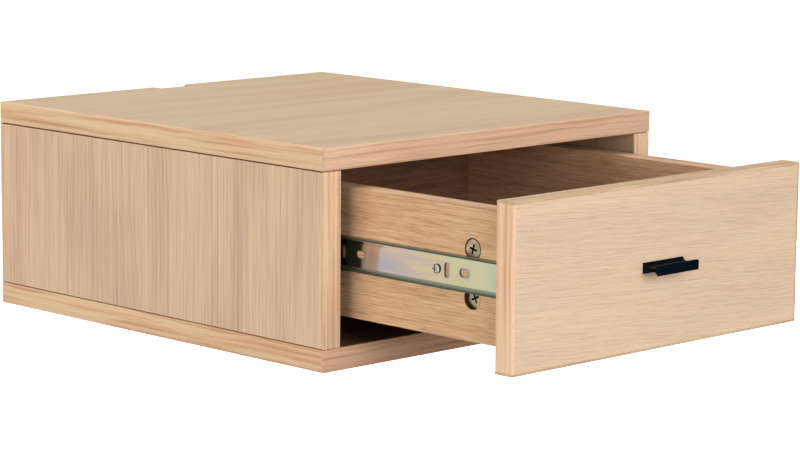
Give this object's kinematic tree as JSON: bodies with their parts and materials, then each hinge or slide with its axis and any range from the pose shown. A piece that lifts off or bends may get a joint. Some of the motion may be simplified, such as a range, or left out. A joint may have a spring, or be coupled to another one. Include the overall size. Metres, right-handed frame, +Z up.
{
  "type": "floating nightstand",
  "caption": "Wall-hung nightstand box of light oak veneered board, with a rear cable notch and an inset drawer on full-extension ball-bearing slides, opened by a small black pull.",
  "frame": {"origin": "on the wall plane, at the middle of the bottom panel's rear edge, half way up the board", "axes": "+Y into the wall, -Y to the front the way the drawer opens, +X to the right seen from the front, +Z up"},
  "size_m": [0.377, 0.604, 0.175],
  "materials": {
    "oak_veneer": "matte lacquered light oak veneer, grain along the width",
    "oak_side_veneer": "matte lacquered light oak veneer, upright grain",
    "oak_front_veneer": "matte lacquered light oak veneer, level grain",
    "oak_band": "matte lacquered oak edge band, grain along the edge",
    "drawer_veneer": "matte lacquered oak veneer, grain along the drawer's depth",
    "beech_dowel": "raw turned beech",
    "slide_zinc": "bright zinc plated steel with a yellow to lilac passivation",
    "plated_steel": "zinc plated steel",
    "cage_steel": "plain steel cage with polished balls",
    "cam_zinc": "die-cast zinc, dull",
    "black_metal": "satin black coating"
  },
  "bodies": {
    "carcass": {"top_panel": "oak_veneer", "top_band_front": "oak_band", "top_band_left": "oak_band", "top_band_right": "oak_band", "bottom_panel": "oak_veneer", "bottom_band_front": "oak_band", "bottom_band_left": "oak_band", "bottom_band_right": "oak_band", "side_panel_left": "oak_side_veneer", "side_band_left": "oak_band", "side_panel_right": "oak_side_veneer", "side_band_right": "oak_band", "back_panel": "oak_veneer", "dowel_top_left": "beech_dowel", "dowel_top_right": "beech_dowel", "dowel_bottom_left": "beech_dowel", "dowel_bottom_right": "beech_dowel", "hanger_plate_left": "plated_steel", "hanger_plate_right": "plated_steel", "cabinet_member_left": "slide_zinc", "cabinet_member_right": "slide_zinc", "cabinet_screw_left_front": "plated_steel", "cabinet_screw_left_rear": "plated_steel", "cabinet_screw_right_front": "plated_steel", "cabinet_screw_right_rear": "plated_steel"},
    "outer_cages": {"outer_ball_cage_left": "cage_steel", "outer_ball_cage_right": "cage_steel"},
    "middle_members": {"middle_member_left": "slide_zinc", "middle_member_right": "slide_zinc"},
    "inner_cages": {"inner_ball_cage_left": "cage_steel", "inner_ball_cage_right": "cage_steel"},
    "drawer": {"drawer_member_left": "slide_zinc", "drawer_member_right": "slide_zinc", "drawer_screw_left_front": "plated_steel", "drawer_screw_left_rear": "plated_steel", "drawer_screw_right_front": "plated_steel", "drawer_screw_right_rear": "plated_steel", "drawer_front": "oak_front_veneer", "drawer_front_band_top": "oak_band", "drawer_front_band_bottom": "oak_band", "drawer_front_band_left": "oak_band", "drawer_front_band_right": "oak_band", "drawer_side_left": "drawer_veneer", "drawer_side_right": "drawer_veneer", "drawer_side_band_left": "oak_band", "drawer_side_band_right": "oak_band", "drawer_back": "drawer_veneer", "drawer_bottom": "drawer_veneer", "cam_left_lower": "cam_zinc", "cam_left_upper": "cam_zinc", "cam_right_lower": "cam_zinc", "cam_right_upper": "cam_zinc", "cam_bolt_left_lower": "plated_steel", "cam_bolt_left_upper": "plated_steel", "cam_bolt_right_lower": "plated_steel", "cam_bolt_right_upper": "plated_steel", "handle": "black_metal", "handle_screw_left": "plated_steel", "handle_screw_right": "plated_steel"}
  },
  "joints": [
    {"name": "middle_stage", "type": "slide", "parent": "carcass", "child": "middle_members", "axis": [0, -1, 0], "range_m": [0, 0.171]},
    {"name": "outer_cage_roll", "type": "slide", "parent": "carcass", "child": "outer_cages", "axis": [0, -1, 0], "range_m": [0, 0.0855]},
    {"name": "drawer_stage", "type": "slide", "parent": "middle_members", "child": "drawer", "axis": [0, -1, 0], "range_m": [-0.179, 0]},
    {"name": "inner_cage_roll", "type": "slide", "parent": "middle_members", "child": "inner_cages", "axis": [0, -1, 0], "range_m": [-0.0895, 0]}
  ],
  "couplings": [
    {"joint": "outer_cage_roll", "follows": "middle_stage", "ratio": 0.5},
    {"joint": "inner_cage_roll", "follows": "drawer_stage", "ratio": 0.5}
  ]
}
